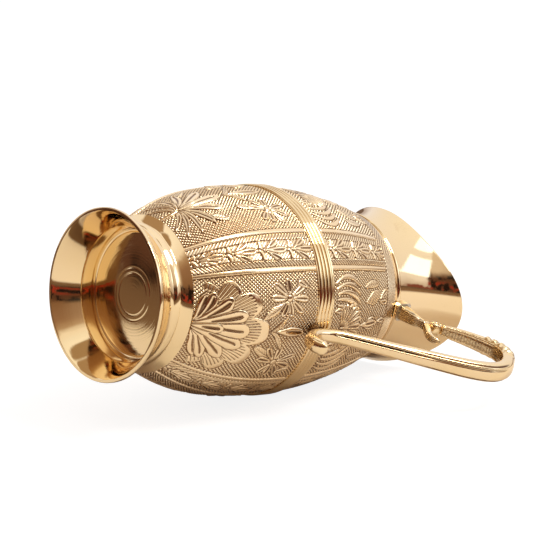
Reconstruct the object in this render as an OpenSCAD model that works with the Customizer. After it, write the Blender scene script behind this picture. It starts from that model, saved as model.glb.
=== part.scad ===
// Embossed brass jug: a spun foot, a two-part pressed body joined under a beaded
// waist band, a flared pouring mouth and a cast loop handle. The jug stands upright
// on its foot. +Z is the axis of the body, +X points to the handle, the spout is at -X.

/* [Body] */
// Largest outside radius of the belly
belly_r = 58.5; // [57:0.5:60]
// Height of the largest radius above the rest face
belly_z = 100; // [98:1:102]
// Height where the lower body meets the foot collar
body_start_z = 26; // [25.5:0.5:27]
// Outside radius of the body where it leaves the foot collar
body_start_r = 40.8; // [40.5:0.1:41]
// Height where the upper body ends at the neck ring
body_end_z = 182; // [180:1:184]
// Outside radius of the body at the neck ring
body_end_r = 44; // [43.5:0.5:45]
// Thickness of the sheet brass
sheet_t = 1.4; // [1.2:0.1:1.6]

/* [Panel ribs] */
// Number of wide panels around the body
panels = 4; // [3:1:6]
// Angle that one narrow panel takes up
narrow_angle = 22; // [16:1:26]
// Angle of one rib
rib_angle = 2.6; // [1.8:0.1:3.2]
// Height of a rib above the body
rib_h = 0.5; // [0.3:0.1:0.6]

/* [Waist band] */
// Height of the band
band_h = 12; // [10:0.5:13]
// How far the band's plain face stands out from the belly
band_rise = 0.5; // [0.4:0.1:0.9]
// Number of beads on the band
beads = 4; // [2:1:5]
// Height of a bead above the plain face
bead_h = 0.6; // [0.4:0.1:0.9]

/* [Foot] */
// Outside radius of the foot rim
foot_r = 46; // [44:0.5:48]
// Radius of the opening under the base disc
recess_r = 35; // [34.5:0.5:35.5]
// Height of the flange that carries the base disc
recess_z = 20.6; // [20:0.1:21]
// Outside radius of the ridge above the cove
ridge_r = 38.6; // [38.5:0.1:39]
// Outside radius of the collar's top edge
collar_r = 42.2; // [42.2:0.1:42.6]
// Width of the flat rest ring under the rim
rest_w = 1.4; // [1.2:0.1:1.6]

/* [Mouth] */
// Outside radius of the neck at its narrowest
neck_r = 42.7; // [42.5:0.1:43]
// Height of the spout's tip
spout_z = 238; // [234:1:242]
// How much lower the rim is at the handle than at the spout
rim_lean = 8; // [4:1:12]
// How far the rim dips at both sides
rim_dip = 23; // [14:1:24]
// Outside radius at the spout's tip
spout_r = 62; // [60:1:64]
// Wall of the mouth
mouth_t = 1.3; // [1.1:0.1:1.6]

/* [Handle] */
// Width of the handle bar at its widest
handle_w = 10.5; // [9:0.5:12]
// Depth of the handle bar at its widest
handle_d = 9; // [8:0.5:10]
// How far the handle's upper end is off to one side
handle_lean = 3.5; // [0:0.5:4]

/* [Hidden] */
$fn = 96;
seam_z = belly_z + 7.5;
band_low = seam_z - band_h / 2;
band_r = belly_r + band_rise;
neck_ring_h = 3;
mouth_z = body_end_z + neck_ring_h;
flare_z = mouth_z + 2;
disc_z = recess_z + 1.5;
disc_t = 1.4;
disc_r = 37;
floor_z = disc_z + disc_t;
collar_low_r = ridge_r - 0.3;
throat_z = 14;
lower_power = 2.7;
upper_power = 2.1;
flare_power = 2.4;
lug_low = 179.5;
lug_high = 189;
lug_w = 9.6;
lug_x = 47.5;
solder_t = 0.8;
bend_x = belly_r + 7.1;
pad_x = belly_r + 4.5;
pad_z = 101;
brass = [0.86, 0.66, 0.36];
polished = [0.93, 0.74, 0.42];
tin = [0.78, 0.77, 0.74];

// Outside radius of the plain body at height z
function body_r(z) = z < belly_z
    ? belly_r - (belly_r - body_start_r)
        * pow((belly_z - z) / (belly_z - body_start_z), lower_power)
    : belly_r - (belly_r - body_end_r)
        * pow((z - belly_z) / (body_end_z - belly_z), upper_power);

// Outside radius of the mouth at height z
function mouth_r(z) = neck_r + (spout_r - neck_r)
    * pow(max(0, z - flare_z) / (spout_z - flare_z), flare_power);

// Height of the mouth's rim at angle a from the handle
function rim_z(a) = spout_z - rim_lean / 2 - rim_dip * 0.555
    + rim_dip * (0.5 * cos(2 * a) + 0.055 * cos(4 * a)) - rim_lean / 2 * cos(a);

// Outer surface of the foot skirt: a cove from the rim up to the ridge
function cove_r(t) = ridge_r - 0.8 + (foot_r - ridge_r + 0.8) * pow(1 - t, 1.9);

// Inner surface of the foot skirt at height z: a flare, then a steeper throat
function flare_r(z) = z < throat_z
    ? foot_r - 0.3 - rest_w - (foot_r - 1.3 - rest_w - recess_r) * pow(z / throat_z, 0.9)
    : recess_r + pow((recess_z - z) / (recess_z - throat_z), 1.5);

// Height of the base disc's underside at radius r
function disc_under(r, bulge) = disc_z - bulge * (1 - pow(r / recess_r, 2));

// n + 1 evenly spaced values from a to b
function spread(a, b, n) = [for (i = [0 : n]) a + (b - a) * i / n];

// Points of a body wall from height z0 to z1, moved sideways by d
function wall(z0, z1, n, d) = [for (z = spread(z0, z1, n)) [body_r(z) + d, z]];

// Points of the band's beaded face from bottom to top, moved outwards by gap
function band_face(gap) = concat(
    [[band_r + gap, band_low]],
    [for (i = [0 : beads - 1], a = spread(0, 180, 6))
        [band_r + gap + bead_h * sin(a),
            band_low + 0.8 + (band_h - 1.6) / beads * (i + 0.5 - 0.46 * cos(a))]],
    [[band_r + gap, band_low + band_h]]);

// The same points in the opposite order
function backwards(list) = [for (i = [len(list) - 1 : -1 : 0]) list[i]];

// A pressed shell of the body between two heights
module body_shell(z0, z1) {
    rotate_extrude()
        polygon(concat(wall(z0, z1, 20, 0), backwards(wall(z0, z1, 20, -sheet_t))));
}

// The raised ribs that divide the body into wide and narrow panels
module ribs(z0, z1) {
    for (i = [0 : panels - 1], side = [-1, 1])
        rotate([0, 0, (i + 0.5) * 360 / panels + side * narrow_angle / 2 - rib_angle / 2])
            rotate_extrude(angle = rib_angle)
                polygon(concat(wall(z0, z1, 16, rib_h), backwards(wall(z0, z1, 16, -0.4))));
}

// A closed solid through rings of equal length, all turning the same way
module loft(rings) {
    n = len(rings[0]);
    m = len(rings);
    polyhedron(
        points = [for (ring = rings) each ring],
        faces = concat(
            [[for (i = [0 : n - 1]) i]],
            [for (j = [0 : m - 2], i = [0 : n - 1], half = [0, 1])
                let (a = j * n + i, b = j * n + (i + 1) % n)
                half == 0 ? [b, a, a + n] : [b, a + n, b + n]],
            [[for (i = [n - 1 : -1 : 0]) (m - 1) * n + i]]
        ),
        convexity = 8
    );
}

module foot_skirt() {
    rim_h = 2.2;
    color(polished)
        rotate_extrude()
            polygon(concat(
                [[foot_r - 0.3 - rest_w, 0], [foot_r - 0.3, 0], [foot_r, 0.5], [foot_r, rim_h - 0.5]],
                [for (t = spread(0.04, 1, 12))
                    [min(cove_r(t), foot_r - 0.3), rim_h + t * (recess_z - 4.4 - rim_h)]],
                [for (t = spread(0.2, 1, 6))
                    [ridge_r - 0.8 * pow(1 - t, 2), recess_z - 4.4 + 3.2 * t]],
                [[ridge_r, recess_z - 0.5], [ridge_r - 0.1, recess_z - 0.1]],
                [[collar_low_r, recess_z], [recess_r, recess_z]],
                [for (z = spread(recess_z - 1, throat_z, 6)) [flare_r(z), z]],
                [for (z = spread(throat_z - 1, 1, 10)) [flare_r(z), z]]
            ));
}

module foot_collar() {
    color(polished)
        rotate_extrude()
            polygon(concat(
                [[recess_r, recess_z]],
                [for (t = spread(0, 1, 8))
                    [collar_low_r + (collar_r - collar_low_r) * pow(t, 1.3),
                        recess_z + t * (body_start_z - recess_z)]],
                [for (z = spread(body_start_z, floor_z, 4)) [body_r(z) + 0.02, z]],
                [[disc_r, floor_z], [disc_r, disc_z], [recess_r, disc_z]]
            ));
}

// The turned disc that closes the bottom, with two turned grooves round its middle.
// It bulges downwards a little.
module base_disc() {
    bulge = 2;
    color(brass)
        rotate_extrude()
            difference() {
                polygon(concat(
                    [for (r = spread(0, recess_r, 10)) [r, disc_under(r, bulge)]],
                    [[disc_r - 0.02, disc_z], [disc_r - 0.02, floor_z], [0, floor_z]]
                ));
                for (r = [11.4, 14.2])
                    translate([r, disc_under(r, bulge)])
                        square([0.8, 0.7], center = true);
            }
}

module lower_body() {
    color(brass) {
        body_shell(floor_z, seam_z);
        ribs(body_start_z + 1, band_low);
    }
}

module upper_body() {
    color(brass) {
        body_shell(seam_z, body_end_z);
        ribs(band_low + band_h, body_end_z - 16);
    }
}

module waist_band() {
    color(polished)
        rotate_extrude()
            polygon(concat(
                band_face(0),
                backwards(wall(band_low, band_low + band_h, 8, 0.03))
            ));
}

module neck_ring() {
    top = body_end_z + neck_ring_h;
    color(polished)
        rotate_extrude()
            polygon(concat(
                [[body_end_r - 0.2, body_end_z]],
                [for (a = spread(-60, 60, 6))
                    [body_end_r - 0.6 + 1.1 * cos(a), body_end_z + 1.5 + 1.4 * sin(a)]],
                [[neck_r + 0.2, top], [neck_r - mouth_t, top], [body_end_r - sheet_t, body_end_z]]
            ));
}

// The flared mouth: each ring runs up the outside and down the inside of the wall
module mouth() {
    steps = 72;
    rise = 12;
    levels = concat(spread(0, rise, rise), spread(rise, 0, rise));
    ring = 2 * (rise + 1);
    points = [for (s = [0 : steps - 1], k = [0 : ring - 1])
        let (
            a = s * 360 / steps,
            z = mouth_z + (rim_z(a) - mouth_z) * levels[k] / rise,
            r = mouth_r(z) - (k > rise ? mouth_t : 0)
        )
        [r * cos(a), r * sin(a), z]];
    color(polished)
        polyhedron(
            points = points,
            faces = [for (s = [0 : steps - 1], k = [0 : ring - 1], half = [0, 1])
                let (
                    a = s * ring + k,
                    b = s * ring + (k + 1) % ring,
                    c = ((s + 1) % steps) * ring + k,
                    d = ((s + 1) % steps) * ring + (k + 1) % ring
                )
                half == 0 ? [a, b, c] : [b, d, c]],
            convexity = 10
        );
}

// Handle centre line: x, z, and the section's width and depth there as shares of the full
// size. It starts at the tail, bends at the pad, climbs to the loop and comes back down.
handle_line = [
    [bend_x + 16.4, 90.8, 0.40, 0.42], [bend_x + 14.2, 89.2, 0.68, 0.70],
    [bend_x + 9.4, 87.4, 0.76, 0.76], [bend_x + 3.8, 89, 0.74, 0.74],
    [bend_x, 97.5, 0.70, 0.70], [bend_x + 2.8, 109, 0.70, 0.70],
    [77, 120, 0.74, 0.74], [91, 135.5, 0.80, 0.80], [106, 152.5, 0.90, 0.90],
    [118, 167.5, 0.98, 0.98], [123.5, 180, 1.00, 1.00], [121.5, 192, 0.98, 0.98],
    [114, 202, 0.95, 0.92], [104, 206.6, 0.92, 0.84], [93, 203.8, 0.88, 0.78],
    [84, 199.2, 0.80, 0.70], [76.5, 193.4, 0.70, 0.62], [70.5, 187.8, 0.58, 0.56],
    [65, 184.4, 0.48, 0.56], [57, 183.4, 0.68, 0.64], [44, 184, 0.86, 0.84]
];
// The thumb scroll under the end of the loop
scroll_line = [[65, 185.5, 0.44, 0.50], [71, 181, 0.42, 0.46], [77, 176, 0.40, 0.40],
    [82, 174, 0.34, 0.32], [86, 176, 0.20, 0.20]];

// Half outline of the bar across its width and depth: a raised face between two flutes
bar_half = [[0, 0.5], [0.20, 0.48], [0.27, 0.36], [0.34, 0.40], [0.44, 0.30], [0.50, 0.05],
    [0.46, -0.26], [0.30, -0.44], [0, -0.5]];
bar_outline = concat(bar_half,
    [for (i = [len(bar_half) - 2 : -1 : 1]) [-bar_half[i][0], bar_half[i][1]]]);

// Catmull-Rom point between b and c
function smooth(a, b, c, d, t) = 0.5 * (2 * b + (c - a) * t
    + (2 * a - 5 * b + 4 * c - d) * t * t + (3 * b - a - 3 * c + d) * t * t * t);

// A line of points made n times finer
function finer(line, n) = concat(
    [for (i = [0 : len(line) - 2], k = [0 : n - 1])
        smooth(line[max(i - 1, 0)], line[i], line[i + 1], line[min(i + 2, len(line) - 1)], k / n)],
    [line[len(line) - 1]]);

// The bar's outline set across the line at point i
function bar_ring(line, i) =
    let (
        p = line[i],
        step = line[min(i + 1, len(line) - 1)] - line[max(i - 1, 0)],
        along = [step[0], step[1]] / norm([step[0], step[1]])
    )
    [for (q = bar_outline)
        let (out = q[1] * handle_d * p[3])
        [p[0] + along[1] * out, q[0] * handle_w * p[2], p[1] - along[0] * out]];

module bar(line, n) {
    fine = finer(line, n);
    loft([for (i = [0 : len(fine) - 1]) bar_ring(fine, i)]);
}

// Tips the handle's plane, so that it is off to one side by handle_lean at the lug
module leaning() {
    by_x = handle_lean / 78;
    by_z = -handle_lean / 156;
    multmatrix([[1, 0, 0, 0], [by_x, 1, by_z, -78 * by_x - 90 * by_z], [0, 0, 1, 0]])
        union()
            children();
}

module handle() {
    color(polished)
        difference() {
            leaning() {
                bar(handle_line, 4);
                bar(scroll_line, 3);
                translate([70.2, 0, 188.6])
                    rotate([90, 0, 0])
                        cylinder(r = 3.6, h = 0.6 * handle_w, center = true);
            }
            translate([pad_x - 10, -10, pad_z - 20])
                cube([10, 20, 40]);
            translate([lug_x - 10, -10, lug_low - 6])
                cube([10 + solder_t, 20, 24]);
        }
}

// A block cut to sit on the neck, with a flat face for the end of the handle
module handle_lug() {
    color(polished)
        difference() {
            translate([neck_r - 2, -handle_lean, 0])
                end_block(lug_x - neck_r + 2, 0);
            neck_core(0.02);
        }
}

// A bar along X with the lug's section and clipped corners, grown by extra all round
module end_block(length, extra) {
    y = lug_w / 2 + extra;
    low = lug_low - extra;
    high = lug_high + extra;
    clip = 1.2;
    rotate([90, 0, 90])
        linear_extrude(height = length)
            polygon([[-y + clip, low], [y - clip, low], [y, low + clip], [y, high - clip],
                [y - clip, high], [-y + clip, high], [-y, high - clip], [-y, low + clip]]);
}

// The solid inside the shoulder, neck ring and neck, used to cut what sits on them
module neck_core(gap) {
    top = mouth_z + 20;
    ring_r = body_end_r + 0.5;
    rotate_extrude()
        polygon(concat(
            [[0, body_end_z - 12]],
            [for (z = spread(body_end_z - 12, body_end_z - 1, 6)) [body_r(z) + rib_h + gap, z]],
            [[ring_r + gap, body_end_z - 0.5], [ring_r + gap, mouth_z]],
            [for (z = spread(mouth_z + 0.2, top, 10)) [mouth_r(z) + gap, z]],
            [[0, top]]
        ));
}

// The solder joint between the lug and the end of the handle
module upper_solder() {
    color(tin)
        translate([lug_x, -handle_lean, 0])
            end_block(solder_t, 0.3);
}

// The brazed pad that fills the gap between the belly and the handle's lower bend
module lower_solder() {
    color(brass)
        difference() {
            translate([pad_x - 6, -0.2 * handle_lean, pad_z])
                rotate([0, 90, 0])
                    cylinder(r = 4, h = 6);
            rotate_extrude($fn = 360)
                polygon(concat(
                    [[0, pad_z - 10]],
                    [for (z = spread(pad_z - 10, band_low, 8)) [body_r(z) + 0.02, z]],
                    band_face(0.02),
                    [[0, band_low + band_h]]
                ));
        }
}

foot_skirt();
foot_collar();
base_disc();
lower_body();
waist_band();
upper_body();
neck_ring();
mouth();
handle();
handle_lug();
upper_solder();
lower_solder();
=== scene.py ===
"""Embossed brass jug, lying on its side on a pale floor. Metres, in the CAD's frame."""

import math

import bpy
import numpy as np
from mathutils import Matrix, Vector


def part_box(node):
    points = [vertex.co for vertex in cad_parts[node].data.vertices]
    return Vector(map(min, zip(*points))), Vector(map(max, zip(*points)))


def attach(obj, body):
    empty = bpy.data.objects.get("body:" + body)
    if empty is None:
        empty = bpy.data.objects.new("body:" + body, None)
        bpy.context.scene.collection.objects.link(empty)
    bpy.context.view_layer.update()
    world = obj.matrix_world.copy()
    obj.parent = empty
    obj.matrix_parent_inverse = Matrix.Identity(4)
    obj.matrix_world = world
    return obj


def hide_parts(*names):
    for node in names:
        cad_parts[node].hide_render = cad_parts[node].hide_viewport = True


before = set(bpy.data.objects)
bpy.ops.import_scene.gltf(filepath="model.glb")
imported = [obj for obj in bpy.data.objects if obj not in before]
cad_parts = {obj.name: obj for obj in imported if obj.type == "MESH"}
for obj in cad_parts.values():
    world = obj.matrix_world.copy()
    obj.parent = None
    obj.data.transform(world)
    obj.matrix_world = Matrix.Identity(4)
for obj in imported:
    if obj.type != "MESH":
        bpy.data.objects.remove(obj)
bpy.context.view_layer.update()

MM = 0.001
COLS = 1200         # columns round the embossed body
CELL = 0.32         # spacing of its rows, mm


# ---------------------------------------------------------------- CAD sizes, mm
def corner(node, side, axis):
    """One coordinate of a node's box: side is 0 for its low corner and 1 for its high one."""
    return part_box(node)[side][axis] / MM


# the body is widest at BELLY_Z. It curves in to START_R at the foot and END_R at the neck
BELLY_R = corner("lower_body", 1, 0)
BELLY_Z = 100.0
START_R, START_Z = 40.8, 26.0
END_R, END_Z = 44.0, corner("upper_body", 1, 2)
BELOW_POWER, ABOVE_POWER = 2.7, 2.1
FLOOR_Z = corner("lower_body", 0, 2)
SEAM_Z = corner("lower_body", 1, 2)
SHEET = 1.4
BAND_LOW, BAND_HIGH = corner("waist_band", 0, 2), corner("waist_band", 1, 2)
BAND_R = BELLY_R + 0.5
FOOT_R = corner("foot_skirt", 1, 0)
# the mouth flares from NECK_R to SPOUT_R. Its rim has two lobes, and the one
# opposite the handle is the higher by twice SPOUT_LIFT
NECK_R = 42.7
MOUTH_Z = corner("mouth", 0, 2)
FLARE_Z = MOUTH_Z + 2
SPOUT_Z = corner("mouth", 1, 2)
SPOUT_R = 62.0
FLARE_POWER = 2.4
RIM_DIP, SPOUT_LIFT = 23.0, 4.0
LOBE, LOBE_SHARP = 0.5, 0.055


def body_r(z):
    """Radius of the body's outside at height z."""
    z = np.asarray(z, float)
    below = np.clip((BELLY_Z - z) / (BELLY_Z - START_Z), 0, 2)
    above = np.clip((z - BELLY_Z) / (END_Z - BELLY_Z), 0, 2)
    return np.where(z < BELLY_Z, BELLY_R - (BELLY_R - START_R) * below ** BELOW_POWER,
                    BELLY_R - (BELLY_R - END_R) * above ** ABOVE_POWER)


def mouth_r(z):
    """Radius of the mouth's outside at height z."""
    up = np.clip((z - FLARE_Z) / (SPOUT_Z - FLARE_Z), 0, 2)
    return NECK_R + (SPOUT_R - NECK_R) * up ** FLARE_POWER


def rim_z(a):
    """Height of the lobed rim at the angle a from the handle."""
    lobes = LOBE * np.cos(2 * a) + LOBE_SHARP * np.cos(4 * a)
    return SPOUT_Z - SPOUT_LIFT * (1 + np.cos(a)) + RIM_DIP * (lobes - LOBE - LOBE_SHARP)


# ---------------------------------------------------------------- mesh helpers
def make_object(name, verts, faces, node_names, material, uv=None, values=None,
                sharp=38):
    """A piece of the visual model. Sizes in mm; values are floats stored on the points;
    edges bent by more than sharp degrees are drawn sharp, and 0 leaves all smooth."""
    mesh = bpy.data.meshes.new(name)
    verts = np.asarray(verts, np.float32) * MM
    faces = np.asarray(faces, np.int32)
    mesh.vertices.add(len(verts))
    mesh.vertices.foreach_set("co", verts.ravel())
    mesh.loops.add(faces.size)
    mesh.loops.foreach_set("vertex_index", faces.ravel())
    mesh.polygons.add(len(faces))
    mesh.polygons.foreach_set("loop_start", np.arange(0, faces.size, faces.shape[1], dtype=np.int32))
    if uv is not None:
        layer = mesh.uv_layers.new(name="OFBake")
        layer.data.foreach_set("uv", np.asarray(uv, np.float32).ravel())
    mesh.update(calc_edges=True)
    mesh.validate()
    for key, value in (values or {}).items():
        mesh.attributes.new(key, "FLOAT", "POINT").data.foreach_set(
            "value", np.asarray(value, np.float32).ravel())
    mesh.polygons.foreach_set("use_smooth", np.ones(len(mesh.polygons), bool))
    if sharp:
        mesh.set_sharp_from_angle(angle=math.radians(sharp))
    obj = bpy.data.objects.new(name, mesh)
    bpy.context.scene.collection.objects.link(obj)
    mesh.materials.append(material)
    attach(obj, "root")
    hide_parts(*node_names)
    return obj


def ring_faces(rows, cols, wrap_rows=True):
    """Quads of a grid whose columns close, and whose rows close if asked."""
    last = rows if wrap_rows else rows - 1
    j, i = np.meshgrid(np.arange(last), np.arange(cols), indexing="ij")
    a = j * cols + i
    b = j * cols + (i + 1) % cols
    c = ((j + 1) % rows) * cols + (i + 1) % cols
    d = ((j + 1) % rows) * cols + i
    return np.stack([a, b, c, d], -1).reshape(-1, 4)


def ring_uv(rows, cols, share, wrap_rows=True):
    """UVs for ring_faces: one island, with share giving each row's height."""
    last = rows if wrap_rows else rows - 1
    v = np.concatenate([np.asarray(share, float), [1.0]])[:rows + 1]
    j, i = np.meshgrid(np.arange(last), np.arange(cols), indexing="ij")
    u0, u1 = i / cols, (i + 1) / cols
    v0, v1 = v[j], v[j + 1]
    pad = lambda x: 0.004 + 0.992 * x
    return np.stack([pad(u0), pad(v0), pad(u1), pad(v0), pad(u1), pad(v1), pad(u0), pad(v1)],
                    -1).reshape(-1, 2)


def lengths(points):
    """How far round a closed outline each point is, from 0 to 1."""
    step = np.linalg.norm(np.diff(np.vstack([points, points[:1]]), axis=0), axis=1)
    return np.concatenate([[0], np.cumsum(step)])[:-1] / step.sum()


def revolve(name, profile, node, material, cols=288, sharp=42):
    """A closed outline of (radius, height) turned about Z. Its inside is to its left."""
    profile = np.array(profile, float)
    angle = np.arange(cols) * 2 * np.pi / cols
    r, z = profile[:, :1], profile[:, 1:]
    pts = np.stack([r * np.cos(angle), r * np.sin(angle), z + 0 * angle], -1)
    faces = ring_faces(len(profile), cols)
    x, y = profile[:, 0], profile[:, 1]
    uv = ring_uv(len(profile), cols, lengths(profile))
    if np.sum(x * np.roll(y, -1) - np.roll(x, -1) * y) < 0:
        faces = faces[:, ::-1]
        uv = uv.reshape(-1, 4, 2)[:, ::-1].reshape(-1, 2)
    return make_object(name, pts.reshape(-1, 3), faces, [node], material, uv,
                       sharp=sharp)


# ---------------------------------------------------------------- materials
class Tree:
    """Short calls for building a node tree. where is the coordinate that noise is laid on."""

    def __init__(self, tree, coordinate):
        self.tree = tree
        tree.nodes.clear()
        self.where = self.new("ShaderNodeTexCoord").outputs[coordinate]

    def new(self, kind, **settings):
        node = self.tree.nodes.new(kind)
        for key, value in settings.items():
            setattr(node, key, value)
        return node

    def link(self, a, b):
        self.tree.links.new(a, b)

    def put(self, node, key, value):
        """Links a socket, sets a number, or sets a colour of three numbers."""
        if hasattr(value, "links"):
            self.link(value, node.inputs[key])
        else:
            node.inputs[key].default_value = (*value, 1) if isinstance(value, tuple) else value

    def noise(self, scale, detail=3.0, rough=0.55, at=None, distort=0.0):
        n = self.new("ShaderNodeTexNoise")
        self.put(n, "Vector", at or self.where)
        self.put(n, "Scale", scale)
        self.put(n, "Detail", detail)
        self.put(n, "Roughness", rough)
        self.put(n, "Distortion", distort)
        return n.outputs["Fac"]

    def remap(self, value, a, b, c, d, smooth=False):
        n = self.new("ShaderNodeMapRange",
                     interpolation_type="SMOOTHSTEP" if smooth else "LINEAR")
        for key, x in enumerate((value, a, b, c, d)):
            self.put(n, key, x)
        return n.outputs[0]

    def math(self, kind, *values):
        n = self.new("ShaderNodeMath", operation=kind)
        for key, x in enumerate(values):
            self.put(n, key, x)
        return n.outputs[0]

    def vector(self, kind, value=(0, 0, 0)):
        """A measure of the coordinate: its length, or its product with or distance to value."""
        n = self.new("ShaderNodeVectorMath", operation=kind)
        self.link(self.where, n.inputs[0])
        n.inputs[1].default_value = tuple(value)
        return n.outputs["Value"]

    def mix(self, share, a, b):
        n = self.new("ShaderNodeMix", data_type="RGBA")
        self.put(n, 0, share)
        self.put(n, 6, a)
        self.put(n, 7, b)
        return n.outputs[2]

    def mix_shaders(self, share, a, b):
        n = self.new("ShaderNodeMixShader")
        for key, x in enumerate((share, a, b)):
            self.link(x, n.inputs[key])
        return n.outputs[0]

    def surface(self, kind, colour, strength=None):
        """A plain shader of one colour."""
        n = self.new(kind)
        self.put(n, 0, colour)
        if strength is not None:
            self.put(n, 1, strength)
        return n.outputs[0]


class Nodes(Tree):
    """The node tree of a new material."""

    def __init__(self, name):
        self.material = bpy.data.materials.new(name)
        self.material.use_nodes = True
        super().__init__(self.material.node_tree, "Object")
        self.out = self.new("ShaderNodeOutputMaterial")

    def attribute(self, name):
        return self.new("ShaderNodeAttribute", attribute_name=name).outputs["Fac"]

    def turned(self):
        """A coordinate of radius and height, so noise on it makes rings round the axis."""
        parts = self.new("ShaderNodeSeparateXYZ")
        self.link(self.where, parts.inputs[0])
        x, y, z = parts.outputs
        radius = self.math("SQRT", self.math("ADD", self.math("MULTIPLY", x, x),
                                             self.math("MULTIPLY", y, y)))
        join = self.new("ShaderNodeCombineXYZ")
        self.link(radius, join.inputs[0])
        self.link(z, join.inputs[2])
        return join.outputs[0]

    def metal(self, colour, rough, height, distance):
        """Brass of this colour and roughness, with height as its finest bumps."""
        shader = self.new("ShaderNodeBsdfPrincipled")
        self.put(shader, "Base Color", colour)
        self.put(shader, "Roughness", rough)
        self.put(shader, "Metallic", 1.0)
        bump = self.new("ShaderNodeBump")
        self.put(bump, "Strength", 1.0)
        self.put(bump, "Distance", distance)
        self.put(bump, "Height", height)
        self.link(bump.outputs[0], shader.inputs["Normal"])
        self.link(shader.outputs[0], self.out.inputs[0])
        return self.material


# clean brass in two tones, tarnish, and a brown for painted shade in the handle's hollows and round
# its joint
GOLD = (0.88, 0.68, 0.38)
PALE = (0.90, 0.70, 0.43)
DEEP = (0.50, 0.29, 0.11)
SHADE_BROWN = (0.14, 0.07, 0.032)
PAD_AT = Vector((BELLY_R + 1.5, -0.7, 101))     # where the handle is brazed on, mm


def polished(name, rings=1.0, dark=0.0, low=0.02, high=0.06):
    """Smooth brass with faint turning marks. low and high are its roughness, dark its stains."""
    m = Nodes(name)
    ring = m.turned()
    fine = m.noise(2600, 2, 0.6, ring)
    wide = m.noise(420, 3, 0.5, ring)
    stain = m.noise(46, 5, 0.6, distort=0.6)
    blot = m.noise(13, 4, 0.6)
    colour = m.mix(m.remap(blot, 0.35, 0.7, 0, 1, True), GOLD, PALE)
    colour = m.mix(m.remap(stain, 0.62, 0.8, 0, 0.35 + dark, True), colour, DEEP)
    rough = m.math("ADD", m.remap(stain, 0.3, 0.75, low, high), m.remap(fine, 0.4, 0.6, 0, 0.03))
    height = m.math("ADD", m.math("MULTIPLY", fine, 0.35), wide)
    return m.metal(colour, rough, height, 0.02 * MM * rings)


def embossed():
    """Brass with painted shade: brown in the cuts of its pattern."""
    m = Nodes("embossed_brass")
    cut = m.attribute("cut")
    grain = m.noise(900, 4, 0.7)
    blot = m.noise(30, 5, 0.6, distort=0.5)
    face = m.mix(m.remap(blot, 0.3, 0.7, 0, 1, True), (0.93, 0.71, 0.42), (0.97, 0.78, 0.52))
    edge = m.math("ADD", cut, m.remap(grain, 0.3, 0.7, -0.10, 0.10))
    # painted shade: the relief's cuts and hollows are darkened brown, though the brass there is
    # plain
    colour = m.mix(m.remap(edge, 0.30, 0.95, 0, 1, True), face, (0.24, 0.13, 0.060))
    rough = m.math("ADD", m.remap(edge, 0.0, 0.9, 0.10, 0.30), m.remap(grain, 0.3, 0.7, -0.04, 0.05))
    return m.metal(colour, rough, grain, 0.03 * MM)


def cast():
    """Rougher brass, with painted shade: brown in its hollows and round the place where it is brazed
    on.
    """
    m = Nodes("handle_brass")
    cut = m.attribute("cut")
    grain = m.noise(700, 4, 0.65)
    blot = m.noise(60, 4, 0.6)
    face = m.mix(m.remap(blot, 0.3, 0.7, 0, 1, True), GOLD, PALE)
    edge = m.math("ADD", cut, m.remap(grain, 0.3, 0.7, -0.08, 0.08))
    # painted shade: brown wherever the cut marks a groove or hollow
    colour = m.mix(m.remap(edge, 0.1, 0.9, 0, 1, True), face, SHADE_BROWN)
    # painted shade round the joint where the handle meets the body
    distance = m.vector("DISTANCE", PAD_AT * MM)
    joint_shade = m.remap(distance, 4.5 * MM, 8.5 * MM, 0.85, 0, True)
    colour = m.mix(joint_shade, colour, SHADE_BROWN)
    return m.metal(colour, m.remap(edge, 0.0, 0.8, 0.09, 0.36), grain, 0.04 * MM)


def solder():
    """Dull lumpy solder."""
    m = Nodes("solder")
    lump = m.noise(240, 4, 0.6)
    colour = m.mix(m.remap(lump, 0.35, 0.65, 0, 1, True), (0.40, 0.34, 0.27), (0.70, 0.64, 0.54))
    return m.metal(colour, m.remap(lump, 0.3, 0.7, 0.22, 0.42), lump, 0.4 * MM)


POLISHED = polished("polished_brass")
MOUTH = polished("mouth_brass", 0.7)
TURNED = polished("turned_brass", 2.2, 0.1, 0.04, 0.09)
EMBOSSED = embossed()
CAST = cast()
SOLDER = solder()


# ---------------------------------------------------------------- embossing
def smooth_step(a, b, x):
    """0 up to a, 1 from b on, and a smooth climb between them."""
    t = np.clip((x - a) / (b - a), 0, 1)
    return t * t * (3 - 2 * t)


def near(d, width):
    """1 on a line, falling to 0 about a width away from it."""
    return np.exp(-(d / width) ** 2)


def periodic(x, pitch):
    """Distance to the nearest multiple of pitch."""
    return np.abs((x / pitch + 0.5) % 1 - 0.5) * pitch


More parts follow.
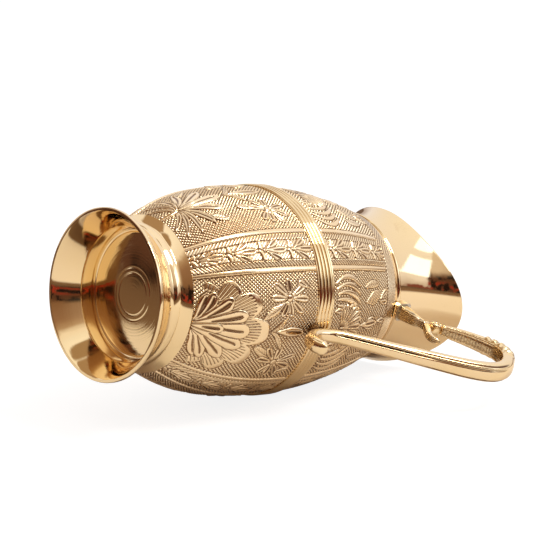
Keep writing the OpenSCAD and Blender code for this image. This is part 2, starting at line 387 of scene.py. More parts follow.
class Relief:
    """Height in mm and depth of cut (0 to 1) over one quarter of the body's surface.
    x runs round the body from the panel's centre and s runs up its outline, both in mm."""

    def __init__(self, x, s):
        self.x, self.s = x, s
        self.h = np.zeros_like(x)
        self.c = np.zeros_like(x)

    def lay(self, mask, h, c):
        """Replaces height and cut where mask is 1."""
        self.h = self.h * (1 - mask) + h * mask
        self.c = self.c * (1 - mask) + c * mask

    def score(self, amount, depth=0.3):
        """Cuts a line where amount is 1."""
        self.h = self.h - depth * amount
        self.c = np.maximum(self.c, amount)

    def hatch(self, mask, across=2.05, along=2.35, width=0.36):
        """Crossed cuts that leave small raised diamonds."""
        a, b = self.x / across + self.s / along, self.x / across - self.s / along
        gap = 1 / math.hypot(1 / across, 1 / along)
        net = np.maximum(near(periodic(a, 1) * gap, width), near(periodic(b, 1) * gap, width))
        self.lay(mask, 0.08 - 0.56 * net, net)

    def lines(self, mask, slope, pitch, width=0.34, depth=0.3, base=0.05):
        """Slanted parallel cuts."""
        d = periodic(self.x + slope * self.s, pitch) / math.hypot(1, slope)
        cut = near(d, width)
        self.lay(mask, base - depth * cut, 0.9 * cut)

    def petal(self, x0, s0, turn, length, width, bend=0.0, slot=0.7, lift=0.42, peak=0.76,
              veins=0, bow=0.0, scales=0, root=0.12):
        """One leaf or petal from (x0, s0), turned from straight up by turn degrees.
        slot is half the width of the groove in it, in mm."""
        t = math.radians(turn)
        dx, ds = self.x - x0, self.s - s0
        a = dx * math.sin(t) + ds * math.cos(t)
        u = np.clip(a / length, 0.001, 0.999)
        b = (dx * math.cos(t) - ds * math.sin(t) - bend * u ** 2 * length
             - bow * 4 * u * (1 - u))
        half = width / 2 * np.where(
            u < peak, root + (1 - root) * (u / peak) ** 0.85,
            np.sqrt(np.clip(1 - ((u - peak) / (1 - peak)) ** 2, 0, 1)))
        lean = np.sqrt(1 + (2 * bend * u + bow * 4 * (1 - 2 * u) / length) ** 2)
        inside = (half - np.abs(b)) / lean
        inside = np.minimum(inside, np.minimum(a, length - a) * 0.9 + 0.2)
        mask = smooth_step(-0.30, 0.12, inside)
        q = np.clip(np.abs(b) / np.maximum(half, 0.05), 0, 1)
        h = lift * (0.72 + 0.28 * smooth_step(0.1, 0.7, u)) * np.sqrt(1 - 0.85 * q ** 3)
        c = np.zeros_like(h)
        if slot:
            reach = smooth_step(0.20, 0.62, u) * (1 - smooth_step(0.84, 0.93, u))
            wide = slot * np.clip(reach, 0, 1) + 0.02
            cut = smooth_step(0.1, 0.3, reach) * near(b / lean, wide + 0.22 * (wide > 0.1))
            h, c = h - 0.52 * cut, np.maximum(c, cut)
        if veins:
            v = near(periodic(a - np.abs(b) * 1.2, veins), 0.34) * smooth_step(0.2, 0.5, inside)
            v = np.maximum(v, near(b, 0.36) * (u < 0.85))
            h, c = h - 0.24 * v, np.maximum(c, 0.75 * v)
        if scales:
            v = np.maximum(near(periodic(a + b, scales), 0.34), near(periodic(a - b, scales), 0.34))
            v = v * smooth_step(0.3, 0.7, inside)
            h, c = h - 0.26 * v, np.maximum(c, 0.8 * v)
        self.lay(mask, h, c)
        rim = near(inside + 0.20, 0.34) * smooth_step(-0.8, 0.3, np.minimum(a, length - a) + 0.6)
        self.h -= 0.26 * rim
        self.c = np.maximum(self.c, 0.95 * rim)

    def both(self, x0, s0, turn, length, width, bend=0.0, bow=0.0, **more):
        """The same petal on both sides of the panel's centre line."""
        for side in (-1, 1):
            self.petal(side * x0, s0, side * turn, length, width, side * bend, bow=side * bow,
                       **more)

    def daisy(self, x0, s0, petals, width=3.9):
        """A flower with petals (turn, length) round a dome."""
        for turn, length in petals:
            self.petal(x0, s0, turn, length, width, slot=0.62, peak=0.72, root=0.25)
        d = np.hypot(self.x - x0, self.s - s0)
        self.lay(1 - smooth_step(1.7, 2.1, d), 0.46 * np.sqrt(np.clip(1 - (d / 2.6) ** 2, 0, 1)), 0)
        self.score(near(d - 2.05, 0.34), 0.3)

    def fringe(self, x0, s0, inner, lobes, pitch=1.75):
        """Rounded lobes (bearing, half width in degrees, outer radius) with short rays."""
        dx, ds = self.x - x0, self.s - s0
        rho, alpha = np.hypot(dx, ds), np.degrees(np.arctan2(dx, ds))
        for bearing, half, outer in lobes:
            t = np.abs((alpha - bearing) / half)
            edge = outer - (outer - inner) * 0.42 * np.clip(t, 0, 1.5) ** 3.2
            inside = np.minimum(edge - rho, (1.06 - t) * np.radians(half) * rho)
            mask = smooth_step(-0.3, 0.12, inside) * smooth_step(inner - 1, inner, rho)
            rays = near(periodic(np.radians(alpha - bearing) * outer * 0.86, pitch), 0.36)
            rays *= 1 - smooth_step(0.74, 0.84, (rho - inner) / np.maximum(edge - inner, 1))
            h = 0.20 + 0.16 * smooth_step(0, 3.0, inside)
            self.lay(mask, h - 0.36 * rays, 0.9 * rays)
            rim = near(inside + 0.20, 0.34) * (rho > inner)
            self.h -= 0.26 * rim
            self.c = np.maximum(self.c, 0.95 * rim)


def wave(phi, k, shift):
    """A wave that repeats k times in a quarter turn, so that it joins up round the body."""
    return np.sin(np.radians(phi) * 4 * k + shift)


# turn and length of each petal
DAISY = ((-33, 14), (3, 14), (40, 13), (78, 10.5), (112, 11), (178, 12.5), (217, 12.5), (262, 10.5))


def fan_panel(f):
    """The palmette over the foot, with a bud and two daisies above it."""
    f.fringe(0, 1.2, 21, ((-66, 10, 25), (66, 10, 25), (-46, 11, 34), (46, 11, 34),
                          (-24.5, 12, 41), (24.5, 12, 41), (0, 13, 45)))
    f.both(0, 1.2, 74, 19, 5.6, -0.10, slot=0.5, peak=0.7)
    f.both(1.0, 1.2, 44, 20, 6.0, 0.24, slot=0.6)
    f.both(1.0, 1.2, 27, 26, 7.6, 0.16, slot=0.8)
    f.both(1.0, 1.2, 12, 31, 8.2, 0.05, slot=0.8)
    f.petal(0, 1.2, 0, 32.6, 8.8, slot=0.45, peak=0.86)
    f.petal(0, 1.2, 0, 17.0, 5.6, slot=0.7)
    f.both(12, 49, 203, 8, 3.4, 0, slot=0.4)
    for x0, turn, size in ((-19, 0, 1), (19, 14, 1)):
        f.petal(x0 * 0.87, 55, 146 if x0 < 0 else 206, 16.5, 4.8, 0, slot=0, veins=1.7, peak=0.5)
        f.daisy(x0, 57.5, [(a + turn, n * size) for a, n in DAISY])
    f.both(0, 47.2, 14, 13, 3.6, 0.55, slot=0, veins=1.7, peak=0.6)
    f.both(24, 72, 150, 9, 3.4, 0.1, slot=0.4)
    f.petal(0, 51.5, 0, 20, 5.0, slot=0.75, peak=0.45)


def plume_panel(f):
    """A plant with drooping leaves, with a bud and two daisies above it."""
    f.both(14, 21, 16, 13, 4.4, 0.25, slot=0, veins=1.7, peak=0.5)
    f.both(0, 11.5, 34, 22, 5.0, 0.42, slot=0.6, peak=0.6)
    f.both(0, 11.5, 48, 18, 4.6, 0.70, slot=0.5, peak=0.6)
    f.both(0, 11.0, 62, 15, 4.2, 0.90, slot=0.5, peak=0.6)
    f.both(0, 10.5, 80, 11, 4.0, 0.95, slot=0.4, peak=0.6)
    f.petal(0, 0.5, 0, 12.5, 2.6, slot=0, peak=0.6, root=0.7)
    f.both(0, 13, 20, 24, 6.0, 0.12, slot=0.7)
    f.petal(0, 13, 0, 27, 7.0, slot=0.6)
    f.both(0, 43, 18, 12, 3.6, 0.5, slot=0, veins=1.7, peak=0.6)
    for side in (-1, 1):
        f.petal(side * 17, 58, side * -166, 16, 4.6, 0, slot=0, veins=1.7, peak=0.5)
        f.daisy(side * 18.5, 61, [(a + 20 * side, n * 0.95) for a, n in DAISY])
    f.petal(0, 47, 0, 22, 5.4, slot=0.8, peak=0.45)


def upper_panel(f):
    """Long curved leaves round a palmette, with scaly buds above."""
    for k in range(5):
        f.both(25.5 - 3.0 * k, 3.2 + 0.4 * k, -8 - 5 * k, 21.5 + 0.6 * k, 3.0, bow=5.0 - 0.5 * k,
               slot=0, lift=0.40, peak=0.55, root=0.4)
    for turn, size in ((94, 13), (77, 14), (60, 15.5), (45, 16.5), (30, 17.5), (15, 18)):
        f.both(0, 10.5, turn, size, 3.3, slot=0.35, peak=0.8)
    f.petal(0, 10.5, 0, 19, 3.8, slot=0.4, peak=0.8)
    f.both(10.5, 2.0, 0, 7, 3.6, slot=0.5, peak=0.6)
    f.both(13, 31.5, 8, 15, 8.0, 0.10, slot=0, scales=1.9, peak=0.5)
    f.both(21.5, 30, 16, 14, 5.0, -0.25, slot=0, veins=1.8, peak=0.5)
    f.both(12.5, 46, 40, 10, 3.8, -0.2, slot=0.5)
    f.both(12.5, 46, -24, 9, 3.4, 0.2, slot=0.45)
    f.both(0, 31, 24, 12, 3.4, -0.2, slot=0.45)
    f.petal(0, 29, 0, 17, 4.6, slot=0.6, peak=0.5)
    f.petal(0, 47, 0, 8, 3.6, slot=0.7, peak=0.6)


def narrow_panel(f, width, first):
    """Tulips on a stem between two borders of slanted dashes. first is the lowest one's root."""
    f.lines(np.ones_like(f.x), 1.0, 2.2, 0.36, 0.30, -0.04)
    spacing = 19.7
    for k in range(-1, 5):
        root = first + spacing * k
        f.petal(0, root - 6.0, 0, 7, 1.8, slot=0, peak=0.5, root=0.8)
        f.both(0, root - 4.4, 36, 5.6, 3.6, 0.85, slot=0, peak=0.6, root=0.4)
        f.both(0.6, root, 26, 10.5, 4.4, 0.10, slot=0.42, peak=0.78)
        f.petal(0, root, 0, 13.8, 3.8, slot=0.30, peak=0.66)
    gap = width - np.abs(f.x)
    border = smooth_step(-0.15, 0.15, 3.9 - gap)
    cut = near(periodic(f.s + 1.05 * gap, 2.1) / 1.4, 0.40)
    f.lay(border, 0.24 - 0.52 * cut, cut)
    f.score(near(gap - 4.0, 0.34), 0.3)


QUARTER = 90.0
NARROW_HALF, RIB_HALF = 11.0, 1.3       # half widths of a narrow panel and of a rib, degrees
RIB_STOP, BORDER = 11.5, 10.5           # how far under the neck the ribs end and a border starts


def embossed_field(phi, s, r, total, upper, paint):
    """The relief of one quarter. phi in degrees from the wide panel's centre, s up the outline."""
    wobble_x = 0.14 * (wave(phi, 3, s / 7.0) + 0.6 * wave(phi, 7, 2 + s / 3.1))
    wobble_s = 0.14 * (wave(phi, 4, 1 + s / 5.3) + 0.6 * wave(phi, 9, 4 + s / 2.7))
    x = np.radians(phi) * r + wobble_x
    f = Relief(x, s + wobble_s)
    f.hatch(np.ones_like(x))
    paint(f)
    # distance from the rib's middle, above 0 inside the wide panel
    rib_x = np.radians(QUARTER / 2 - NARROW_HALF - np.abs(phi)) * r
    # the narrow panel's centre is at both ends of the quarter
    delta = np.where(phi > 0, phi - QUARTER / 2, phi + QUARTER / 2)
    narrow = Relief(np.radians(delta) * r + wobble_x, s + wobble_s)
    narrow_panel(narrow, math.radians(NARROW_HALF - RIB_HALF) * r, 8.0 if upper else 6.3)
    inside = rib_x < 0
    h, c = np.where(inside, narrow.h, f.h), np.where(inside, narrow.c, f.c)
    # the ribs stop short of the neck
    half = math.radians(RIB_HALF) * r
    stop = smooth_step(0, 1.6, total - RIB_STOP - s) if upper else 1.0
    on = smooth_step(-0.25, 0.25, half - np.abs(rib_x)) * stop
    q = np.clip(np.abs(rib_x) / half, 0, 1)
    h = h * (1 - on) + 0.48 * np.sqrt(1 - 0.55 * q ** 2) * on
    c = c * (1 - on)
    line = near(np.abs(rib_x) - half - 0.35, 0.36) * stop
    h, c = h - 0.34 * line, np.maximum(c, 0.95 * line)
    if upper:
        # a border of long slanted cuts under the neck
        top = total - BORDER
        band = smooth_step(-0.2, 0.2, s - top)
        cut = near(periodic(x + 1.1 * s, 2.05) / 1.5, 0.40)
        h, c = h * (1 - band) + (0.18 - 0.42 * cut) * band, c * (1 - band) + cut * band
        line = near(s - top, 0.4)
        h, c = h - 0.3 * line, np.maximum(c, line)
    return h, c


def embossed_half(name, node, z_low, z_high, relief_low, relief_high, paints):
    """One pressed half of the body: a closed shell whose outside carries the relief.
    paints fill the quarters in turn: the lower half has two, the upper half one."""
    fine = np.linspace(relief_low, relief_high, 4000)
    step = np.hypot(np.diff(fine), np.diff(body_r(fine)))
    arc = np.concatenate([[0], np.cumsum(step)])
    total = arc[-1]
    rows = int(round(total / CELL))
    z_rel = np.interp(np.linspace(0, total, rows + 1), arc, fine)
    s_rel = np.linspace(0, total, rows + 1)
    plain_rows, inner_rows = 7, 15
    below = np.linspace(z_low, relief_low, plain_rows)[:-1]
    above = np.linspace(relief_high, z_high, plain_rows)[1:]
    z = np.concatenate([below, z_rel, above])
    s = np.concatenate([0 * below, s_rel, 0 * above + total])
    r = body_r(z)
    slope = np.gradient(r, z)
    out_r, out_z = 1 / np.hypot(1, slope), -slope / np.hypot(1, slope)
    per_quarter = COLS // 4
    phi = (np.arange(per_quarter) / per_quarter - 0.5) * QUARTER
    where = (phi[None, :] + 0 * s[:, None], s[:, None] + 0 * phi[None, :],
             r[:, None] + 0 * phi[None, :], total, len(paints) == 1)
    parts = [embossed_field(*where, paint) for paint in paints]
    fade = smooth_step(0, 0.6, s) * smooth_step(0, 0.6, total - s)
    fade = np.where((z < relief_low) | (z > relief_high), 0, fade)[:, None]
    h, c = (np.tile(np.hstack([part[k] * fade for part in parts]), 4 // len(parts))
            for k in (0, 1))
    angle = np.radians((np.arange(COLS) / per_quarter - 0.5) * QUARTER)
    rr = r[:, None] + h * out_r[:, None]
    zz = z[:, None] + h * out_z[:, None]
    outer = np.stack([rr * np.cos(angle), rr * np.sin(angle), zz], -1)
    zi = np.linspace(z_high, z_low, inner_rows)
    ri = body_r(zi) - SHEET
    inner = np.stack([ri[:, None] * np.cos(angle), ri[:, None] * np.sin(angle),
                      zi[:, None] + 0 * angle], -1)
    pts = np.concatenate([outer, inner])
    cut = np.concatenate([c, np.zeros((len(zi), COLS))])
    n_out, n_in = len(z), len(zi)
    share = np.concatenate([np.linspace(0, 0.84, n_out), np.linspace(0.86, 0.98, n_in)])
    make_object(name, pts.reshape(-1, 3), ring_faces(n_out + n_in, COLS), [node],
                EMBOSSED, ring_uv(n_out + n_in, COLS, share),
                {"cut": cut}, sharp=0)


embossed_half("lower_body_embossed", "lower_body", FLOOR_Z, SEAM_Z, START_Z + 0.4, BAND_LOW,
              [fan_panel, plume_panel])
embossed_half("upper_body_embossed", "upper_body", SEAM_Z, END_Z, BAND_HIGH, END_Z - 3.2,
              [upper_panel])


# ---------------------------------------------------------------- foot, band and neck
def curve(f, a, b, n):
    """n points of an outline, from f(a) to f(b)."""
    return [f(t) for t in np.linspace(a, b, n)]


RECESS_R, RECESS_Z, RIDGE_R, COLLAR_R = 35.0, 20.6, 38.6, 42.2
DISC_R, DISC_Z = 37.0, RECESS_Z + 1.5
COLLAR_LOW_R = RIDGE_R - 0.3
WAIST_R, WAIST_Z = RIDGE_R - 0.8, RECESS_Z - 4.4        # the skirt's narrowest ring
RIM_H = 2.2
THROAT_Z = 14.0

# up the outside from the rim, over the ridge and down the inside
skirt = (
    [[FOOT_R - 1.7, 0], [FOOT_R - 0.3, 0]]
    + curve(lambda a: [FOOT_R - 0.3 + 0.3 * math.sin(a), 0.5 - 0.5 * math.cos(a)], 0.3, 1.57, 4)
    + [[FOOT_R, RIM_H - 0.5], [FOOT_R - 0.1, RIM_H - 0.1]]
    + curve(lambda t: [min(WAIST_R + (FOOT_R - WAIST_R) * (1 - t) ** 1.9, FOOT_R - 0.3),
                       RIM_H + t * (WAIST_Z - RIM_H)], 0.04, 1, 40)
    + curve(lambda t: [RIDGE_R - 0.8 * (1 - t) ** 2, WAIST_Z + 3.2 * t], 0.06, 1, 16)
    + curve(lambda a: [RIDGE_R - 0.4 + 0.4 * math.cos(a), RECESS_Z - 0.6 + 0.5 * math.sin(a)],
            0.2, 1.4, 6)
    + [[COLLAR_LOW_R, RECESS_Z], [RECESS_R, RECESS_Z]]
    + curve(lambda z: [RECESS_R + ((RECESS_Z - z) / (RECESS_Z - THROAT_Z)) ** 1.5, z],
            RECESS_Z - 0.4, THROAT_Z, 14)
    + curve(lambda z: [FOOT_R - 1.7 - (FOOT_R - 2.7 - RECESS_R) * (z / THROAT_Z) ** 0.9, z],
            THROAT_Z - 0.3, 0.2, 40))
revolve("foot_skirt_spun", skirt, "foot_skirt", POLISHED)

collar = (
    [[RECESS_R, RECESS_Z]]
    + curve(lambda t: [COLLAR_LOW_R + (COLLAR_R - COLLAR_LOW_R) * t ** 1.3,
                       RECESS_Z + t * (START_Z - RECESS_Z)], 0, 0.98, 20)
    + [[COLLAR_R - 0.02, START_Z - 0.02], [COLLAR_R - 0.25, START_Z]]
    + curve(lambda z: [float(body_r(z)) + 0.02, z], START_Z, FLOOR_Z, 8)
    + [[DISC_R, FLOOR_Z], [DISC_R, DISC_Z], [RECESS_R, DISC_Z]])
revolve("foot_collar_spun", collar, "foot_collar", POLISHED)

band = [[BAND_R, BAND_LOW], [BAND_R, BAND_LOW + 0.45]]
BEADS, BEAD_H = 4, 0.6
pitch = (BAND_HIGH - BAND_LOW - 1.6) / BEADS
for k in range(BEADS):
    band += curve(lambda a: [BAND_R - 0.12 + (BEAD_H + 0.1) * math.sin(a),
                             BAND_LOW + 0.8 + pitch * (k + 0.5 - 0.47 * math.cos(a))],
                  0.05, math.pi - 0.05, 15)
band += [[BAND_R, BAND_HIGH - 0.45], [BAND_R, BAND_HIGH]]
band += curve(lambda z: [float(body_r(z)) + 0.03, z], BAND_HIGH, BAND_LOW, 12)
revolve("waist_band_beaded", band, "waist_band", POLISHED)

NECK_TOP = END_Z + 3
ring = (
    [[END_R - 0.2, END_Z]]
    + curve(lambda a: [END_R - 0.6 + 1.1 * math.cos(a), END_Z + 1.5 + 1.4 * math.sin(a)],
            -math.pi / 3, math.pi / 3, 14)
    + [[NECK_R + 0.2, NECK_TOP], [NECK_R - 1.3, NECK_TOP], [END_R - SHEET, END_Z]])
revolve("neck_ring_spun", ring, "neck_ring", POLISHED)


# ---------------------------------------------------------------- mouth
def build_mouth():
    """Up the outside, over the rounded lip and down the inside."""
    cols, rise = 288, 44
    half = 0.65             # half the sheet's thickness
    a = np.arange(cols) * 2 * np.pi / cols
    top = rim_z(a) - half
    climb = [MOUTH_Z + (top - MOUTH_Z) * t for t in np.linspace(0, 1, rise)]
    lip = np.radians(np.linspace(0, 180, 9))[1:-1]
    rows = [(mouth_r(z), z) for z in climb]
    rows += [(mouth_r(top) - half + half * np.cos(b), top + half * np.sin(b)) for b in lip]
    rows += [(mouth_r(z) - 2 * half, z) for z in climb[::-1]]
    pts = np.array([np.stack([r * np.cos(a), r * np.sin(a), z], -1) for r, z in rows])
    n = len(pts)
    make_object("mouth_flared", pts.reshape(-1, 3), ring_faces(n, cols), ["mouth"],
                MOUTH, ring_uv(n, cols, np.linspace(0, 0.99, n)), sharp=42)


build_mouth()


# ---------------------------------------------------------------- base disc
GAP = 0.02


def disc_under(r):
    """Height of the disc's hollowed underside, with two rings, ripples and a crease at its edge."""
    ring = sum(0.10 * math.exp(-((r - at) / 0.40) ** 2) for at in (11.4, 14.2))
    ripple = 0.0012 * math.sin(r * 4.1) + 0.0008 * math.sin(r * 7.3 + 1)
    crease = 0.5 * math.exp(-((r - RECESS_R + 1.4) / 0.45) ** 2)
    return DISC_Z - 2 * (1 - (r / RECESS_R) ** 2) + ring + ripple + crease


disc = (curve(lambda r: [r, disc_under(r)], GAP, RECESS_R, 260)
        + [[DISC_R - GAP, DISC_Z], [DISC_R - GAP, FLOOR_Z], [GAP, FLOOR_Z]])
revolve("base_disc_turned", disc, "base_disc", TURNED, cols=240, sharp=30)


# ---------------------------------------------------------------- handle
LUG_X, SOLDER_T = 47.5, 0.8
HANDLE_W, HANDLE_D = 10.5, 9.0
BEND_X = BELLY_R + 7.1
# x, z, then the share of the full width and depth
BAR = [(BEND_X + 16.2, 90.7, .62, .64), (BEND_X + 13.8, 88.9, .74, .76),
       (BEND_X + 9.4, 87.4, .77, .77), (BEND_X + 3.8, 89, .74, .74),
       (BEND_X, 97.5, .70, .70), (BEND_X + 2.8, 109, .70, .70), (77, 120, .74, .74),
       (91, 135.5, .80, .80), (106, 152.5, .90, .90), (118, 167.5, .98, .98),
       (123.5, 180, 1, 1), (121.5, 192, .98, .98), (114, 202, .95, .92),
       (104, 206.6, .92, .84), (93, 203.8, .88, .76), (84, 199.4, .80, .64),
       (77, 194.6, .70, .54), (72.5, 191, .60, .46)]
ARM = [(46.5, 184, .84, .84), (52, 183.6, .76, .72), (58, 183.3, .64, .58), (63, 184.2, .46, .48),
       (66.5, 184.4, .42, .46), (71, 181, .42, .46), (77, 176, .40, .38), (82, 174, .36, .28),
       (86, 175.8, .22, .14)]
# the handle's plane leans about a point on its lower bend, by LEAN to one side at the lug
LEAN, PIVOT_X, PIVOT_Z = 3.5, 78, 90


def leaning(x, y, z):
    """The same points, moved sideways with the handle's plane."""
    return np.stack([x, y + LEAN * ((x - PIVOT_X) / PIVOT_X - (z - PIVOT_Z) / (2 * PIVOT_X)), z], -1)


def spline(rows, n):
    """A smooth line through the rows, n steps for each."""
    rows = np.array(rows, float)
    t = np.linspace(0, len(rows) - 1, (len(rows) - 1) * n + 1)
    i = np.clip(t.astype(int), 0, len(rows) - 2)
    u = (t - i)[:, None]
    a, b = rows[np.maximum(i - 1, 0)], rows[i]
    c, d = rows[i + 1], rows[np.minimum(i + 2, len(rows) - 1)]
    return 0.5 * (2 * b + (c - a) * u + (2 * a - 5 * b + 4 * c - d) * u ** 2
                  + (3 * b - a - 3 * c + d) * u ** 3)


def sweep(rows, n, around, shape, round_start, round_end, power=2.5):
    """Rings of points round a bar in the XZ plane. shape gives height and cut on them, from
    the distances to both ends, the offsets across and outwards, and the bar's size there."""
    line = spline(rows, n)
    step = np.gradient(line[:, :2], axis=0)
    step /= np.linalg.norm(step, axis=1, keepdims=True)
    run = np.concatenate([[0], np.cumsum(np.linalg.norm(np.diff(line[:, :2], axis=0), axis=1))])
    a = np.arange(around) * 2 * np.pi / around
    ca, sa = np.cos(a), np.sin(a)
    squarish = (np.abs(ca) ** power + np.abs(sa) ** power) ** (-1 / power)
    across, out = 0.5 * squarish * ca, 0.5 * squarish * sa
    end = np.ones(len(line))
    for length, gap in ((round_start, run), (round_end, run[-1] - run)):
        if length:
            t = np.clip(gap / length, 0, 1)
            end = np.minimum(end, np.sqrt(np.clip(1 - (1 - t) ** 2, 0.0004, 1)))
    w = (HANDLE_W * line[:, 2] * end)[:, None]
    d = (HANDLE_D * line[:, 3] * end)[:, None]
    h, cut = shape(run[:, None] + 0 * a, run[-1] - run[:, None] + 0 * a, across * w, out * d, w, d)
    grow = 1 + h / np.maximum(np.hypot(across * w, out * d), 0.3)
    y, o = across * w * grow, out * d * grow
    x, z = line[:, :1] + step[:, 1:2] * o, line[:, 1:2] - step[:, :1] * o
    return leaning(x, y, z), cut


def bar_shape(run, left, y, o, w, d):
    """Flutes along the lower bar, a grained hollow inside the loop, cast leaves over its far end.
    The cut it returns is drawn as painted shade.
    """
    outer = smooth_step(0, 0.2, o / d)
    h, cut = 0 * y, 0 * y
    flute = smooth_step(32, 40, run) * smooth_step(58, 72, left)
    fading = 1 - 0.7 * smooth_step(72, 100, run)
    for at, deep, wide, reach in ((-0.26, 1.0, 0.066, flute * fading),
                                  (-0.42, 0.4, 0.034, flute * smooth_step(70, 90, run)),
                                  (0.38, 0.4, 0.034, flute * smooth_step(80, 95, run))):
        groove = np.exp(-((y / w - at) / wide) ** 2) * outer * reach
        h, cut = h - deep * groove, np.maximum(cut, np.minimum(1, 1.8 * groove))
    inner = smooth_step(0.02, 0.22, -o / d)
    arm = smooth_step(72, 60, left)
    grain = np.sin(run * 5.3 + 3 * np.sin(y * 2.3)) * np.sin(y * 4.7 + 2 * np.sin(run * 1.9))
    hollow = smooth_step(0.40, 0.30, np.abs(y) / w)
    h = h + (0.10 * grain - 0.7 * hollow) * inner * arm
    # painted shade over the hollow on the loop's inner face
    cut = cut + (0.46 + 0.30 * grain) * hollow * inner * arm
    # leaves over the far end, on the outside and on one edge
    reach = smooth_step(22, 27, left) * smooth_step(52, 46, left) * smooth_step(-0.3, 0.1, o / d)
    lobe = np.abs(np.sin(left * 0.72 + 2.2 * np.abs(y) / w)) ** 0.8
    vein = near(periodic(left + 1.5 * np.abs(y), 1.9), 0.34)
    edge = smooth_step(0.15, 0.35, -y / w)
    h = h + reach * ((1.0 + 0.3 * edge) * lobe - 0.4 * vein - 0.15)
    cut = np.maximum(cut, reach * np.maximum(0.5 * vein, 0.6 * (lobe < 0.35)))
    return h, cut


def arm_shape(run, left, y, o, w, d):
    """The arm from the lug: fine ribs underneath, a collar at its waist, a hollow lip. The cut it
    returns is drawn as painted shade, and it also darkens two rings beside the collar.
    """
    under = smooth_step(-0.05, 0.15, o / d)
    ribs = under * np.abs(np.sin(3.2 * y)) ** 3
    collar = np.exp(-((run - 19.5) / 0.8) ** 2)
    lip = smooth_step(20, 23, run)
    scoop = np.exp(-(y / (0.22 * w)) ** 2) * lip * smooth_step(0.0, 0.3, -o / d)
    h = -0.22 * ribs + 0.5 * collar - 0.9 * scoop
    # painted shade in two rings beside the collar
    dark = np.exp(-((run - 20.9) / 0.4) ** 2) + np.exp(-((run - 18.1) / 0.4) ** 2)
    return h, np.clip(0.8 * ribs + 0.7 * scoop + 0.7 * dark, 0, 1)


def tube(name, node, material, parts):
    """Closed tubes in one mesh: each is rings of points and a cut value for each point."""
    verts, faces, uvs, cuts, base = [], [], [], [], 0
    share = 1 / len(parts)
    for k, (rings, cut) in enumerate(parts):
        n, m = rings.shape[:2]
        caps = [np.repeat(rings[j].mean(0)[None], m, 0)[None] for j in (0, -1)]
        rings = np.concatenate([caps[0], rings, caps[1]])
        cut = np.concatenate([cut[:1], cut, cut[-1:]])
        quads = ring_faces(n + 2, m, False)[:, ::-1]
        uv = ring_uv(n + 2, m, np.linspace(0, 1, n + 2), False).reshape(-1, 4, 2)[:, ::-1]
        uv = uv.reshape(-1, 2) * [share * 0.98, 1] + [k * share, 0]
        verts.append(rings.reshape(-1, 3))
        faces.append(quads + base)
        uvs.append(uv)
        cuts.append(cut.ravel())
        base += rings.shape[0] * m
    return make_object(name, np.concatenate(verts), np.concatenate(faces), [node],
                       material, np.concatenate(uvs), {"cut": np.concatenate(cuts)}, sharp=50)


def volute(x, z, radius, width, around=64, rings=40):
    """A small roll with its axis along Y and a spiral groove in each end."""
    end, edge, pitch = 0.3, 0.8, 1.8        # share of the rings on each end, rounding, spiral
    t = np.linspace(0, 1, rings)
    a = np.arange(around) * 2 * np.pi / around
    side = np.clip((t - end) / (1 - 2 * end), 0, 1) * np.pi
    flat = radius - edge
    inward = np.minimum(t, 1 - t) / end
    r = np.where(inward < 1, inward * flat, flat + edge * np.sqrt(np.abs(np.sin(side))))
    r = np.maximum(r, 0.05)[:, None] + 0 * a
    y = (-np.cos(side) * width / 2)[:, None]
    turn = near(periodic(r - a / (2 * np.pi) * pitch * np.sign(y + 1e-9), pitch), 0.32)
    groove = turn * (r < radius - 0.5) * (np.abs(y) > width * 0.45)
    y = y - np.sign(y) * 0.45 * groove
    px, pz = x + r * np.cos(a), z + r * np.sin(a)
    # the groove is also the cut, which the handle's brass draws as painted shade
    return leaning(px, y, pz), groove


def facing_out(part):
    """The same part with its rings turned the way the others are, if it is inside out."""
    pts, cut = part
    a, b = pts[1:-1, :], pts[2:, :]
    du = np.roll(pts, -1, 1)[1:-1] - a
    normal = np.cross(b - a, du)
    volume = np.sum(normal * (a - pts.mean(axis=(0, 1))))
    return (pts[:, ::-1], cut[:, ::-1]) if volume < 0 else part


bar, bar_cut = sweep(BAR, 22, 96, bar_shape, 3.6, 1.5)
arm, arm_cut = sweep(ARM, 16, 72, arm_shape, 0, 2.0, 4)
# flat where they meet the lug and the brazed pad, and inside the CAD's box
arm[..., 0] = np.maximum(arm[..., 0], LUG_X + SOLDER_T)
pad_x = BELLY_R + 4.5
bend_part = (bar[..., 2] > 81) & (bar[..., 2] < 121)
bar[..., 0] = np.where(bend_part, np.maximum(bar[..., 0], pad_x), bar[..., 0])
bar[..., 0] = np.minimum(bar[..., 0], corner("handle", 1, 0) - 0.002)
roll, roll_cut = volute(70.2, 188.6, 3.6, 0.6 * HANDLE_W)
tube("handle_cast", "handle", CAST,
     [facing_out(part) for part in ((bar, bar_cut), (arm, arm_cut), (roll, roll_cut))])

# these three keep the CAD's own shapes
for name, material in (("handle_lug", CAST), ("upper_solder", SOLDER), ("lower_solder", CAST)):
    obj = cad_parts[name]
    obj.data.materials.clear()
    obj.data.materials.append(material)


# ---------------------------------------------------------------- camera
AXIS = Vector((0, 0, 1))
AZIMUTH, ELEVATION, ROLL = 66.89, -44.35, -88.41        # degrees
AIM = Vector((0.0126, -0.0170, 0.1048))
DISTANCE = 1.0
az, el, roll = (math.radians(v) for v in (AZIMUTH, ELEVATION, ROLL))
back = Vector((math.sin(az) * math.cos(el), -math.cos(az) * math.cos(el), math.sin(el)))
level_up = (AXIS - back * back.z).normalized()
level_right = level_up.cross(back)
cam_up = level_up * math.cos(roll) + level_right * math.sin(roll)
cam_right = cam_up.cross(back)
camera = bpy.data.objects.new("camera", bpy.data.cameras.new("camera"))
bpy.context.scene.collection.objects.link(camera)
camera.data.lens = 120
camera.data.sensor_width = 36
camera.data.clip_end = 60
spin = Matrix((cam_right, cam_up, back)).transposed()
camera.matrix_world = Matrix.Translation(AIM + back * DISTANCE) @ spin.to_4x4()
bpy.context.scene.camera = camera


